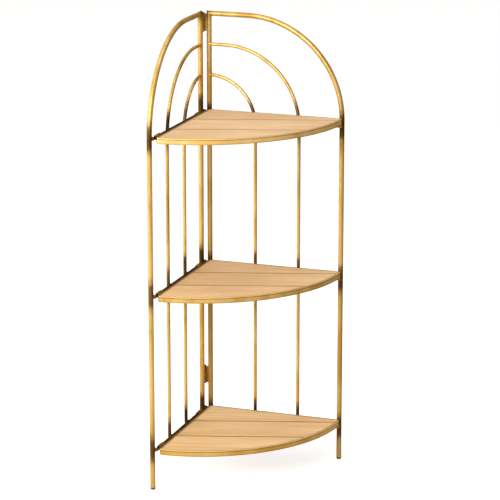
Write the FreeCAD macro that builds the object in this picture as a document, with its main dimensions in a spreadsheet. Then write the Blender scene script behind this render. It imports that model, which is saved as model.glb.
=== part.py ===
import FreeCAD, Part
import math
import os
import Sketcher

os.makedirs("parts", exist_ok=True)

# A three-tier folding corner stand. Two flat panels of bent tube stand at a right angle and are
# hinged along their rear posts. Three quarter-round shelves turn on the rails of the left panel
# and rest on the rails of the right panel.
#
# Floor at Z = 0. The vertical hinge line is the back corner: the left panel runs from it along -Y,
# the right panel along +X, and the origin lies midway between the front legs' reach on both axes.

doc = FreeCAD.newDocument("CornerStand")
sheet = doc.addObject("Spreadsheet::Sheet", "Sizes")

DRIVING_SIZES = [
    # name, millimetres (or degrees), what it is
    ("leg_run", 351, "hinge line to front leg, centre to centre"),
    ("post_setback", 16.3, "hinge line to rear post, centre to centre"),
    ("front_rod_run", 244.6, "hinge line to front inner rod"),
    ("rear_rod_run", 134.3, "hinge line to rear inner rod"),
    ("tube_diameter", 12, "legs, arches, top rails and posts"),
    ("tube_wall", 1.2, "wall of that tube"),
    ("rod_diameter", 8, "inner rods and rails, solid bar"),
    ("bottom_rail_height", 100, "axis of the lowest left rail above the floor"),
    ("shelf_spacing", 375, "from one left rail to the next"),
    ("arch_rise", 235, "top rail above the highest left rail, centre lines"),
    ("arch_radius", 238, "outer arch, centre line"),
    ("front_arch_radius", 188, "front inner arch, centre line"),
    ("arch_step", 74, "drop from one arch to the next inside it"),
    ("rail_end", 3, "rails past the centre of leg and post"),
    ("end_chamfer", 0.8, "cut ends of the rails"),
    ("foot_height", 5, "visible part of a foot plug"),
    ("foot_round", 2.5, "rounding round the sole"),
    ("plug_depth", 15, "part of the plug inside the tube"),
    ("plug_clearance", 0.05, "plug in tube, on the radius"),
    ("pin_diameter", 5, "rear hinge pin"),
    ("pin_head_diameter", 8, "rear hinge pin heads"),
    ("pin_head_height", 2, "rear hinge pin heads"),
    ("barrel_diameter", 10, "rear hinge barrel"),
    ("hinge_height", 42, "rear hinge, all knuckles"),
    ("leaf_thickness", 3, "rear hinge leaves"),
    ("knuckle_gap", 0.4, "between neighbouring knuckles, and leaf to barrel"),
    ("running_clearance", 0.05, "pins and rails in their bores, on the radius"),
    ("lower_hinge_rise", 60, "lower hinge above the lowest left rail"),
    ("upper_hinge_drop", 1, "upper hinge's top below the outer arch's centre line"),
    ("rim_overhang", 4, "rim's outer face beyond the front legs' centres, from the hinge line"),
    ("frame_height", 14, "flat bar of the shelf frame"),
    ("frame_thickness", 2.5, "flat bar of the shelf frame"),
    ("shelf_top_rise", 3.5, "frame's top edge above the left rail's axis"),
    ("tip_round", 10, "outer corner radius at the two front tips"),
    ("corner_round", 8, "outer corner radius at the back corner"),
    ("post_gap", 1.5, "right rear post to the shelf frame"),
    ("seat_gap", 0.3, "shelf frame above the right rail"),
    ("eye_wall", 2, "rolled hinge eye"),
    ("eye_width", 22, "rolled hinge eye, along the rail"),
    ("eye_leaf_drop", 10, "leaf of the eye below the rail's axis"),
    ("front_eye_setback", 29, "front leg back to the front eye's middle"),
    ("rear_eye_setback", 45.7, "rear post on to the rear eye's middle"),
    ("board_thickness", 10, "shelf boards"),
    ("board_recess", 0.5, "boards below the frame's top edge"),
    ("board_gap", 0.6, "boards to frame"),
    ("slat_gap", 1.2, "between neighbouring boards"),
    ("slat_bevel", 1.2, "bevel along the boards' top edges"),
    ("slat_angle", 17.5, "boards turned from the right panel"),
    ("joint_start", 26.5, "right panel to where the first joint between boards meets the rim"),
    ("middle_board_width", 113, "first joint to second joint"),
    ("strap_width", 16, "cross straps under the boards"),
    ("strap_thickness", 2, "cross straps under the boards"),
    ("left_strap_offset", 70, "hinge line to the left strap, along the boards"),
    ("right_strap_setback", 140, "rim back to the right strap, along the boards"),
    ("screw_diameter", 3, "screw shank"),
    ("screw_length", 6, "screw shank inside the board"),
    ("screw_head_diameter", 7, "screw head"),
    ("screw_head_height", 1.3, "screw head"),
    ("screw_clearance", 0.2, "screw in strap, on the radius"),
]
for row, (name, amount, note) in enumerate(DRIVING_SIZES, start=1):
    sheet.set(f"A{row}", note)
    sheet.set(f"B{row}", str(amount))
    sheet.setAlias(f"B{row}", name)
doc.recompute()

# Sizes that follow from the driving ones, written once as expressions.
SIZE = {name: f"Sizes.{name}" for name, amount, note in DRIVING_SIZES}
SIZE["tube_radius"] = "(Sizes.tube_diameter / 2)"
SIZE["rod_radius"] = "(Sizes.rod_diameter / 2)"
SIZE["bore_radius"] = "(Sizes.tube_diameter / 2 - Sizes.tube_wall)"
SIZE["top_rail_height"] = "(Sizes.bottom_rail_height + 2 * Sizes.shelf_spacing)"
SIZE["arch_top"] = f"({SIZE['top_rail_height']} + Sizes.arch_rise)"
SIZE["front_arch_top"] = f"({SIZE['arch_top']} - Sizes.arch_step)"
SIZE["rear_arch_top"] = f"({SIZE['arch_top']} - 2 * Sizes.arch_step)"
SIZE["rear_arch_radius"] = "(Sizes.rear_rod_run - Sizes.post_setback)"
# The rails are welded to the inner side of leg and post, the rods to the back of the rails.
SIZE["rail_inset"] = "(Sizes.tube_diameter / 2 + Sizes.rod_diameter / 2)"
SIZE["rod_inset"] = f"({SIZE['rail_inset']} - Sizes.rod_diameter)"
# The shelf frame's two straight sides, its underside and the right rail below it.
SIZE["frame_side"] = (
    f"({SIZE['rail_inset']} + Sizes.rod_diameter / 2 + Sizes.running_clearance + Sizes.eye_wall)"
)
SIZE["frame_back"] = "(Sizes.tube_diameter / 2 + Sizes.post_gap)"
SIZE["frame_underside"] = "(Sizes.shelf_top_rise - Sizes.frame_height)"
SIZE["right_rail_drop"] = (
    "(Sizes.frame_height - Sizes.shelf_top_rise + Sizes.seat_gap + Sizes.rod_diameter / 2)"
)
SIZE["board_top"] = "(Sizes.shelf_top_rise - Sizes.board_recess)"
SIZE["board_underside"] = f"({SIZE['board_top']} - Sizes.board_thickness)"
SIZE["strap_underside"] = f"({SIZE['board_underside']} - Sizes.strap_thickness)"
SIZE["shelf_radius"] = "(Sizes.leg_run + Sizes.rim_overhang)"
# The boards run at a slant: across and along them are measured from the hinge line.
SIZE["slant_sine"] = "sin(Sizes.slat_angle * 1 deg)"
SIZE["slant_cosine"] = "cos(Sizes.slat_angle * 1 deg)"
SIZE["first_joint"] = (
    f"({SIZE['shelf_radius']} * {SIZE['slant_sine']} + Sizes.joint_start * {SIZE['slant_cosine']})"
)
SIZE["second_joint"] = f"({SIZE['first_joint']} + Sizes.middle_board_width)"
SIZE["right_strap_offset"] = f"({SIZE['shelf_radius']} - Sizes.right_strap_setback)"

SHELVES = {"bottom": 0, "middle": 1, "top": 2}
ORIGIN_POINT = (-1, 1)
TOLERANCE = 1e-6
UP = FreeCAD.Vector(0, 0, 1)
nodes = []


def value(expression):
    """Number that an expression of the sheet's sizes gives."""
    return float(sheet.evalExpression(expression))


def tie(thing, prop, expression):
    """Binds a property to the sheet."""
    thing.setExpression(prop, expression)


def node(thing, label):
    """Names a finished sub-part and lists it for export."""
    thing.Label = label
    nodes.append(thing)
    return thing


def place_on_panel(thing, side, inset="0", height="0"):
    """Puts a piece drawn with X along its panel onto the left or right panel.

    inset is how far the piece lies inside the panel's own plane."""
    if side == "left":
        thing.Placement.Rotation = FreeCAD.Rotation(UP, -90)
        tie(thing, "Placement.Base.x", f"{inset} - Sizes.leg_run / 2")
        tie(thing, "Placement.Base.y", "Sizes.leg_run / 2")
    else:
        tie(thing, "Placement.Base.x", "-Sizes.leg_run / 2")
        tie(thing, "Placement.Base.y", f"Sizes.leg_run / 2 - {inset}")
    tie(thing, "Placement.Base.z", height)


def new_body(label):
    return node(doc.addObject("PartDesign::Body", "Body"), label)


def new_sketch(body, plane, lift=None, turn=None):
    """Sketch on one of the body's own planes, lifted and turned if asked."""
    sketch = body.newObject("Sketcher::SketchObject", "Sketch")
    support = [item for item in body.Origin.OriginFeatures if item.Role == plane][0]
    sketch.AttachmentSupport = [(support, "")]
    sketch.MapMode = "FlatFace"
    if lift is not None:
        tie(sketch, "AttachmentOffset.Base.z", lift)
    if turn is not None:
        sketch.AttachmentOffset.Rotation = FreeCAD.Rotation(UP, value(turn))
        tie(sketch, "AttachmentOffset.Rotation.Angle", turn)
    return sketch


def dimension(sketch, kind, where, expression):
    """Adds a dimension to a sketch and binds it to the sheet."""
    index = sketch.addConstraint(Sketcher.Constraint(kind, *where, value(expression)))
    sketch.setExpression(f"Constraints[{index}]", expression)


def add_circle(sketch, x, y, radius):
    centre = FreeCAD.Vector(value(x), value(y), 0)
    geometry = sketch.addGeometry(Part.Circle(centre, UP, value(radius)), False)
    if value(x) == 0 and value(y) == 0:
        sketch.addConstraint(Sketcher.Constraint("Coincident", geometry, 3, *ORIGIN_POINT))
    elif value(y) == 0:
        dimension(sketch, "DistanceX", (*ORIGIN_POINT, geometry, 3), x)
        sketch.addConstraint(Sketcher.Constraint("PointOnObject", geometry, 3, -1))
    elif value(x) == 0:
        dimension(sketch, "DistanceY", (*ORIGIN_POINT, geometry, 3), y)
        sketch.addConstraint(Sketcher.Constraint("PointOnObject", geometry, 3, -2))
    else:
        dimension(sketch, "DistanceX", (*ORIGIN_POINT, geometry, 3), x)
        dimension(sketch, "DistanceY", (*ORIGIN_POINT, geometry, 3), y)
    dimension(sketch, "Radius", (geometry,), radius)
    return geometry


def add_polygon(sketch, corners):
    """Closed outline through corners, each a pair of expressions."""
    points = [FreeCAD.Vector(value(x), value(y), 0) for x, y in corners]
    lines = [
        sketch.addGeometry(Part.LineSegment(start, end), False)
        for start, end in zip(points, points[1:] + points[:1])
    ]
    for line, following in zip(lines, lines[1:] + lines[:1]):
        sketch.addConstraint(Sketcher.Constraint("Coincident", line, 2, following, 1))
    for line, (x, y) in zip(lines, corners):
        dimension(sketch, "DistanceX", (*ORIGIN_POINT, line, 1), x)
        dimension(sketch, "DistanceY", (*ORIGIN_POINT, line, 1), y)


def add_rectangle(sketch, left, low, right, high):
    add_polygon(sketch, [(left, low), (right, low), (right, high), (left, high)])


def pad(body, sketch, length, middle=False):
    feature = body.newObject("PartDesign::Pad", "Pad")
    feature.Profile = sketch
    tie(feature, "Length", length)
    if middle:
        feature.Midplane = True
    return feature


def pocket_through(body, sketch):
    """Cuts a sketch through the whole body, both ways."""
    feature = body.newObject("PartDesign::Pocket", "Pocket")
    feature.Profile = sketch
    feature.Midplane = True
    feature.Type = "ThroughAll"
    return feature


def ring_profile(body, run, lift):
    """Section of the hollow tube, level, where the tube starts."""
    profile = new_sketch(body, "XY_Plane", lift)
    add_circle(profile, run, "0", SIZE["tube_radius"])
    add_circle(profile, run, "0", SIZE["bore_radius"])
    return profile


def arch_path(body, run, foot, top, radius, inner_end):
    """Centre line in the panel's plane: up at run, round the arch and back to the post.

    With no inner_end the arch itself meets the post."""
    path = new_sketch(body, "XZ_Plane")
    centre = FreeCAD.Vector(value(run) - value(radius), value(top) - value(radius), 0)
    ground = FreeCAD.Vector(value(run), value(foot), 0)
    spring = FreeCAD.Vector(value(run), centre.y, 0)
    upright = path.addGeometry(Part.LineSegment(ground, spring), False)
    circle = Part.Circle(centre, UP, value(radius))
    arch = path.addGeometry(Part.ArcOfCircle(circle, 0, math.pi / 2), False)
    path.addConstraint(Sketcher.Constraint("Vertical", upright))
    dimension(path, "DistanceX", (*ORIGIN_POINT, upright, 1), run)
    dimension(path, "DistanceY", (*ORIGIN_POINT, upright, 1), foot)
    path.addConstraint(Sketcher.Constraint("Tangent", upright, 2, arch, 1))
    dimension(path, "Radius", (arch,), radius)
    dimension(path, "DistanceY", (*ORIGIN_POINT, arch, 2), top)
    if inner_end is None:
        path.addConstraint(Sketcher.Constraint("Vertical", arch, 2, arch, 3))
        return path
    level = FreeCAD.Vector(centre.x, value(top), 0)
    rail = path.addGeometry(
        Part.LineSegment(level, FreeCAD.Vector(value(inner_end), value(top), 0)), False
    )
    path.addConstraint(Sketcher.Constraint("Tangent", arch, 2, rail, 1))
    path.addConstraint(Sketcher.Constraint("Horizontal", rail))
    dimension(path, "DistanceX", (*ORIGIN_POINT, rail, 2), inner_end)
    return path


def mitre(body, keep):
    """Cuts the 45 degree mitre where the top rail meets the post; keep names what stays."""
    near = "(Sizes.post_setback - Sizes.tube_diameter)"
    far = "(Sizes.post_setback + Sizes.tube_diameter)"
    low = f"({SIZE['arch_top']} - Sizes.tube_diameter)"
    high = f"({SIZE['arch_top']} + Sizes.tube_diameter)"
    sketch = new_sketch(body, "XZ_Plane")
    if keep == "post":
        add_polygon(sketch, [(near, high), (far, low), (far, high)])
    else:
        add_polygon(sketch, [(near, high), (near, low), (far, low)])
    pocket_through(body, sketch)


def make_outer_tube(side):
    """Front leg, quarter arch and top rail, bent from one tube."""
    body = new_body(f"{side}_outer_tube")
    profile = ring_profile(body, SIZE["leg_run"], SIZE["foot_height"])
    past_post = f"({SIZE['post_setback']} - {SIZE['tube_radius']})"
    path = arch_path(
        body, SIZE["leg_run"], SIZE["foot_height"], SIZE["arch_top"], SIZE["arch_radius"], past_post
    )
    pipe = body.newObject("PartDesign::AdditivePipe", "Pipe")
    pipe.Profile = profile
    pipe.Spine = path
    mitre(body, "rail")
    place_on_panel(body, side)


def make_rear_post(side):
    body = new_body(f"{side}_rear_post")
    profile = ring_profile(body, SIZE["post_setback"], SIZE["foot_height"])
    pad(body, profile, f"{SIZE['arch_top']} + {SIZE['tube_radius']} - Sizes.foot_height")
    mitre(body, "post")
    place_on_panel(body, side)


def make_inner_rod(side, label, run, top, radius, inner_end):
    """Solid rod from the lowest rail up round its arch, its end coped to the post."""
    body = new_body(label)
    lowest = f"(Sizes.bottom_rail_height - {SIZE['rod_radius']})"
    if side == "right":
        lowest = f"({lowest} - {SIZE['right_rail_drop']})"
    profile = new_sketch(body, "XY_Plane", lowest)
    add_circle(profile, run, "0", SIZE["rod_radius"])
    path = arch_path(body, run, lowest, top, radius, inner_end)
    pipe = body.newObject("PartDesign::AdditivePipe", "Pipe")
    pipe.Profile = profile
    pipe.Spine = path
    cope = new_sketch(body, "XY_Plane")
    if side == "left":
        add_circle(cope, SIZE["post_setback"], f"-{SIZE['rod_inset']}", SIZE["tube_radius"])
    else:
        add_circle(cope, SIZE["post_setback"], SIZE["rod_inset"], SIZE["tube_radius"])
    pocket_through(body, cope)
    place_on_panel(body, side, SIZE["rod_inset"])


def make_rail(side, level):
    """Horizontal rail; on the left it is also the shelf's hinge rod."""
    body = new_body(f"{side}_{level}_rail")
    start = "(Sizes.post_setback - Sizes.rail_end)"
    profile = new_sketch(body, "YZ_Plane", start)
    add_circle(profile, "0", "0", SIZE["rod_radius"])
    bar = pad(body, profile, f"Sizes.leg_run + Sizes.rail_end - {start}")
    doc.recompute()
    chamfer = body.newObject("PartDesign::Chamfer", "Chamfer")
    ends = [
        f"Edge{index}"
        for index, edge in enumerate(bar.Shape.Edges, start=1)
        if edge.Curve.TypeId == "Part::GeomCircle"
    ]
    chamfer.Base = (bar, ends)
    tie(chamfer, "Size", SIZE["end_chamfer"])
    height = f"Sizes.bottom_rail_height + {SHELVES[level]} * Sizes.shelf_spacing"
    if side == "right":
        height = f"{height} - {SIZE['right_rail_drop']}"
    place_on_panel(body, side, SIZE["rail_inset"], height)


def make_foot(side, label, run):
    """Plug pressed into the tube's end, with a rounded sole."""
    body = new_body(label)
    sole = value(SIZE["tube_radius"]) - value(SIZE["foot_round"])
    plug = f"({SIZE['bore_radius']} - Sizes.plug_clearance)"
    top = "(Sizes.foot_height + Sizes.plug_depth)"
    sketch = new_sketch(body, "XZ_Plane")
    corners = [
        (0, 0),
        (sole, 0),
        (value(SIZE["tube_radius"]), value(SIZE["foot_round"])),
        (value(SIZE["tube_radius"]), value(SIZE["foot_height"])),
        (value(plug), value(SIZE["foot_height"])),
        (value(plug), value(top)),
        (0, value(top)),
    ]
    points = [FreeCAD.Vector(x, z, 0) for x, z in corners]
    under = sketch.addGeometry(Part.LineSegment(points[0], points[1]), False)
    centre = FreeCAD.Vector(sole, value(SIZE["foot_round"]), 0)
    circle = Part.Circle(centre, UP, value(SIZE["foot_round"]))
    turn = sketch.addGeometry(Part.ArcOfCircle(circle, -math.pi / 2, 0), False)
    rim = sketch.addGeometry(Part.LineSegment(points[2], points[3]), False)
    ledge = sketch.addGeometry(Part.LineSegment(points[3], points[4]), False)
    stem = sketch.addGeometry(Part.LineSegment(points[4], points[5]), False)
    crown = sketch.addGeometry(Part.LineSegment(points[5], points[6]), False)
    axis = sketch.addGeometry(Part.LineSegment(points[6], points[0]), False)
    sketch.addConstraint(Sketcher.Constraint("Tangent", under, 2, turn, 1))
    sketch.addConstraint(Sketcher.Constraint("Tangent", turn, 2, rim, 1))
    for line, following in ((rim, ledge), (ledge, stem), (stem, crown), (crown, axis), (axis, under)):
        sketch.addConstraint(Sketcher.Constraint("Coincident", line, 2, following, 1))
    sketch.addConstraint(Sketcher.Constraint("Coincident", under, 1, *ORIGIN_POINT))
    for line in (under, ledge, crown):
        sketch.addConstraint(Sketcher.Constraint("Horizontal", line))
    for line in (stem, axis):
        sketch.addConstraint(Sketcher.Constraint("Vertical", line))
    dimension(sketch, "Radius", (turn,), SIZE["foot_round"])
    dimension(sketch, "DistanceX", (*ORIGIN_POINT, rim, 2), SIZE["tube_radius"])
    dimension(sketch, "DistanceY", (*ORIGIN_POINT, rim, 2), SIZE["foot_height"])
    dimension(sketch, "DistanceX", (*ORIGIN_POINT, stem, 1), plug)
    dimension(sketch, "DistanceY", (*ORIGIN_POINT, stem, 2), top)
    turned = body.newObject("PartDesign::Revolution", "Revolution")
    turned.Profile = sketch
    turned.ReferenceAxis = (sketch, ["V_Axis"])
    turned.Angle = 360
    place_on_panel(body, side)
    if side == "left":
        tie(body, "Placement.Base.y", f"Sizes.leg_run / 2 - {run}")
    else:
        tie(body, "Placement.Base.x", f"{run} - Sizes.leg_run / 2")


def make_panel(side):
    make_outer_tube(side)
    make_rear_post(side)
    make_inner_rod(
        side, f"{side}_front_rod", SIZE["front_rod_run"], SIZE["front_arch_top"],
        SIZE["front_arch_radius"], SIZE["post_setback"],
    )
    make_inner_rod(
        side, f"{side}_rear_rod", SIZE["rear_rod_run"], SIZE["rear_arch_top"],
        SIZE["rear_arch_radius"], None,
    )
    for level in SHELVES:
        make_rail(side, level)
    make_foot(side, f"{side}_front_foot", SIZE["leg_run"])
    make_foot(side, f"{side}_rear_foot", SIZE["post_setback"])


def make_hinge_leaf(side, position, rise, knuckles):
    """Leaf welded to a rear post, with its knuckles round the hinge line.

    knuckles are (start, end) heights; the leaf stands clear of the other side's knuckles."""
    body = new_body(f"{position}_hinge_{side}_leaf")
    clear_of_barrel = "(Sizes.barrel_diameter / 2 + Sizes.knuckle_gap)"
    half = "(Sizes.leaf_thickness / 2)"
    plate = new_sketch(body, "XY_Plane")
    add_rectangle(plate, clear_of_barrel, f"-{half}", SIZE["post_setback"], half)
    pad(body, plate, SIZE["hinge_height"])
    bore_radius = "(Sizes.pin_diameter / 2 + Sizes.running_clearance)"
    into_plate = f"({clear_of_barrel} + Sizes.knuckle_gap)"
    for start, end in knuckles:
        arm = new_sketch(body, "XY_Plane", start)
        add_rectangle(arm, bore_radius, f"-{half}", into_plate, half)
        pad(body, arm, f"{end} - {start}")
        barrel = new_sketch(body, "XY_Plane", start)
        add_circle(barrel, "0", "0", "(Sizes.barrel_diameter / 2)")
        pad(body, barrel, f"{end} - {start}")
    bore = new_sketch(body, "XY_Plane")
    add_circle(bore, "0", "0", bore_radius)
    pocket_through(body, bore)
    cope = new_sketch(body, "XY_Plane")
    add_circle(cope, SIZE["post_setback"], "0", SIZE["tube_radius"])
    pocket_through(body, cope)
    place_on_panel(body, side, "0", rise)


def make_hinge_pin(position, rise):
    body = new_body(f"{position}_hinge_pin")
    length = "(Sizes.hinge_height + 2 * Sizes.knuckle_gap)"
    shank = new_sketch(body, "XY_Plane", "-Sizes.knuckle_gap")
    add_circle(shank, "0", "0", "(Sizes.pin_diameter / 2)")
    pad(body, shank, length)
    lower_head = "-(Sizes.knuckle_gap + Sizes.pin_head_height)"
    upper_head = "(Sizes.hinge_height + Sizes.knuckle_gap)"
    for lift in (lower_head, upper_head):
        head = new_sketch(body, "XY_Plane", lift)
        add_circle(head, "0", "0", "(Sizes.pin_head_diameter / 2)")
        pad(body, head, SIZE["pin_head_height"])
    place_on_panel(body, "left", "0", rise)


def make_rear_hinge(position, rise):
    """Three-knuckle hinge: two knuckles on the left post's leaf, one on the right post's."""
    third = "(Sizes.hinge_height / 3)"
    half_gap = "(Sizes.knuckle_gap / 2)"
    left = [("0", f"({third} - {half_gap})"), (f"(2 * {third} + {half_gap})", SIZE["hinge_height"])]
    right = [(f"({third} + {half_gap})", f"(2 * {third} - {half_gap})")]
    make_hinge_leaf("left", position, rise, left)
    make_hinge_leaf("right", position, rise, right)
    make_hinge_pin(position, rise)


def add_sector(sketch, inset):
    """Quarter-round outline with rounded corners, drawn inset inside the frame's outer face.

    X runs along the left panel and Y away from it; the arc is centred on the hinge line."""
    side = f"({SIZE['frame_side']} + {inset})"
    back = f"({SIZE['frame_back']} + {inset})"
    reach = f"({SIZE['shelf_radius']} - {inset})"
    tip = f"(Sizes.tip_round - {inset})"
    corner = f"(Sizes.corner_round - {inset})"
    low, near, arc, turn, bend = (value(item) for item in (side, back, reach, tip, corner))
    # centres of the two tip roundings: one radius inside the arc and one radius off the side
    left_tip = FreeCAD.Vector(math.sqrt((arc - turn) ** 2 - (low + turn) ** 2), low + turn, 0)
    right_tip = FreeCAD.Vector(near + turn, math.sqrt((arc - turn) ** 2 - (near + turn) ** 2), 0)
    left_angle = math.atan2(left_tip.y, left_tip.x)
    right_angle = math.atan2(right_tip.y, right_tip.x)

    def arc_piece(centre, radius, start, end):
        circle = Part.Circle(centre, UP, radius)
        return sketch.addGeometry(Part.ArcOfCircle(circle, start, end), False)

    along = sketch.addGeometry(
        Part.LineSegment(FreeCAD.Vector(near + bend, low, 0), FreeCAD.Vector(left_tip.x, low, 0)), False
    )
    left_turn = arc_piece(left_tip, turn, -math.pi / 2, left_angle)
    front = arc_piece(FreeCAD.Vector(0, 0, 0), arc, left_angle, right_angle)
    right_turn = arc_piece(right_tip, turn, right_angle, math.pi)
    across = sketch.addGeometry(
        Part.LineSegment(FreeCAD.Vector(near, right_tip.y, 0), FreeCAD.Vector(near, low + bend, 0)), False
    )
    back_turn = arc_piece(FreeCAD.Vector(near + bend, low + bend, 0), bend, math.pi, 1.5 * math.pi)
    chain = [along, left_turn, front, right_turn, across, back_turn]
    for piece, following in zip(chain, chain[1:] + chain[:1]):
        sketch.addConstraint(Sketcher.Constraint("Tangent", piece, 2, following, 1))
    sketch.addConstraint(Sketcher.Constraint("Horizontal", along))
    sketch.addConstraint(Sketcher.Constraint("Vertical", across))
    sketch.addConstraint(Sketcher.Constraint("Coincident", front, 3, *ORIGIN_POINT))
    dimension(sketch, "Radius", (front,), reach)
    dimension(sketch, "Radius", (left_turn,), tip)
    dimension(sketch, "Radius", (right_turn,), tip)
    dimension(sketch, "Radius", (back_turn,), corner)
    dimension(sketch, "DistanceY", (*ORIGIN_POINT, along, 1), side)
    dimension(sketch, "DistanceX", (*ORIGIN_POINT, across, 1), back)


def shelf_height(level, rise="0"):
    return f"Sizes.bottom_rail_height + {SHELVES[level]} * Sizes.shelf_spacing + {rise}"


def make_shelf_frame(level):
    """Flat bar bent round into the curved rim and the two straight sides."""
    body = new_body(f"{level}_shelf_frame")
    band = new_sketch(body, "XY_Plane")
    add_sector(band, "0")
    add_sector(band, SIZE["frame_thickness"])
    pad(body, band, SIZE["frame_height"])
    place_on_panel(body, "left", "0", shelf_height(level, SIZE["frame_underside"]))


def screw_points():
    """Screws of each board, one on each strap, midway across what the strap crosses of the board.

    Each is a pair (distance across the boards, distance along them)."""
    inside_back = f"({SIZE['frame_back']} + Sizes.frame_thickness)"
    inside_rim = f"({SIZE['shelf_radius']} - Sizes.frame_thickness)"
    points = {"back": [], "middle": [], "front": []}
    for along in (SIZE["left_strap_offset"], SIZE["right_strap_offset"]):
        back_end = f"(({inside_back} + {along} * {SIZE['slant_sine']}) / {SIZE['slant_cosine']})"
        rim_end = f"sqrt({inside_rim} * {inside_rim} - {along} * {along})"
        points["back"].append((f"(({back_end} + {SIZE['first_joint']}) / 2)", along))
        points["middle"].append((f"(({SIZE['first_joint']} + {SIZE['second_joint']}) / 2)", along))
        points["front"].append((f"(({SIZE['second_joint']} + {rim_end}) / 2)", along))
    return points


def make_board(level, board):
    """One wooden board: the shelf's outline cut along its two joints."""
    body = new_body(f"{level}_shelf_{board}_board")
    outline = new_sketch(body, "XY_Plane")
    add_sector(outline, "(Sizes.frame_thickness + Sizes.board_gap)")
    pad(body, outline, SIZE["board_thickness"])
    reach = SIZE["shelf_radius"]
    half_gap = "(Sizes.slat_gap / 2)"
    joints = {
        "back": [(f"({SIZE['first_joint']} - {half_gap})", f"(2 * {reach})")],
        "middle": [
            (f"(0 - {reach})", f"({SIZE['first_joint']} + {half_gap})"),
            (f"({SIZE['second_joint']} - {half_gap})", f"(2 * {reach})"),
        ],
        "front": [(f"(0 - {reach})", f"({SIZE['second_joint']} + {half_gap})")],
    }
    for start, end in joints[board]:
        waste = new_sketch(body, "XY_Plane", turn=SIZE["slat_angle"])
        add_rectangle(waste, start, f"(0 - {reach})", end, f"(2 * {reach})")
        cut = pocket_through(body, waste)
    doc.recompute()
    top = value(SIZE["board_thickness"])
    angle = math.radians(value(SIZE["slat_angle"]) + 90)
    run = FreeCAD.Vector(math.cos(angle), math.sin(angle), 0)
    joint_edges = [
        f"Edge{index}"
        for index, edge in enumerate(cut.Shape.Edges, start=1)
        if edge.Curve.TypeId == "Part::GeomLine"
        and abs(edge.CenterOfMass.z - top) < TOLERANCE
        and abs(abs(edge.Curve.Direction.dot(run)) - 1) < TOLERANCE
    ]
    bevel = body.newObject("PartDesign::Chamfer", "Chamfer")
    bevel.Base = (cut, joint_edges)
    tie(bevel, "Size", SIZE["slat_bevel"])
    holes = new_sketch(body, "XY_Plane", turn=SIZE["slat_angle"])
    for across, along in screw_points()[board]:
        add_circle(holes, across, along, "(Sizes.screw_diameter / 2)")
    pilot = body.newObject("PartDesign::Pocket", "Pocket")
    pilot.Profile = holes
    pilot.Reversed = True
    tie(pilot, "Length", SIZE["screw_length"])
    place_on_panel(body, "left", "0", shelf_height(level, SIZE["board_underside"]))


def part_box(name, x, y, z, length, width, height):
    """Box whose corner and sides are bound to the sheet."""
    box = doc.addObject("Part::Box", name)
    tie(box, "Placement.Base.x", x)
    tie(box, "Placement.Base.y", y)
    tie(box, "Placement.Base.z", z)
    tie(box, "Length", length)
    tie(box, "Width", width)
    tie(box, "Height", height)
    return box


def turned_point(across, along):
    """Where a point given across and along the boards lies in the shelf's own X and Y."""
    x = f"({across} * {SIZE['slant_cosine']} - {along} * {SIZE['slant_sine']})"
    y = f"({across} * {SIZE['slant_sine']} + {along} * {SIZE['slant_cosine']})"
    return x, y


def make_straps(level):
    """Two flat straps across the boards' undersides, welded to the frame at both ends."""
    straps = []
    for offset in (SIZE["left_strap_offset"], SIZE["right_strap_offset"]):
        x, y = turned_point("0", f"({offset} - Sizes.strap_width / 2)")
        bar = part_box(
            "StrapBar", x, y, "0", SIZE["shelf_radius"], SIZE["strap_width"], SIZE["strap_thickness"]
        )
        bar.Placement.Rotation = FreeCAD.Rotation(UP, value(SIZE["slat_angle"]))
        tie(bar, "Placement.Rotation.Angle", SIZE["slat_angle"])
        inside = part_box(
            "InsideSides", f"{SIZE['frame_back']} + Sizes.frame_thickness",
            f"{SIZE['frame_side']} + Sizes.frame_thickness", "0",
            SIZE["shelf_radius"], SIZE["shelf_radius"], SIZE["strap_thickness"],
        )
        disc = doc.addObject("Part::Cylinder", "InsideRim")
        tie(disc, "Radius", f"{SIZE['shelf_radius']} - Sizes.frame_thickness")
        tie(disc, "Height", SIZE["strap_thickness"])
        trimmed = doc.addObject("Part::MultiCommon", "StrapTrimmed")
        trimmed.Shapes = [bar, inside, disc]
        drills = []
        for points in screw_points().values():
            for across, along in points:
                if along != offset:
                    continue
                drill = doc.addObject("Part::Cylinder", "ScrewHole")
                tie(drill, "Radius", "Sizes.screw_diameter / 2 + Sizes.screw_clearance")
                tie(drill, "Height", SIZE["strap_thickness"])
                x, y = turned_point(across, along)
                tie(drill, "Placement.Base.x", x)
                tie(drill, "Placement.Base.y", y)
                drills.append(drill)
        tools = doc.addObject("Part::Compound", "ScrewHoles")
        tools.Links = drills
        strap = doc.addObject("Part::Cut", "Strap")
        strap.Base = trimmed
        strap.Tool = tools
        straps.append(strap)
    pair = node(doc.addObject("Part::Compound", "Straps"), f"{level}_shelf_straps")
    pair.Links = straps
    place_on_panel(pair, "left", "0", shelf_height(level, SIZE["strap_underside"]))


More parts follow.
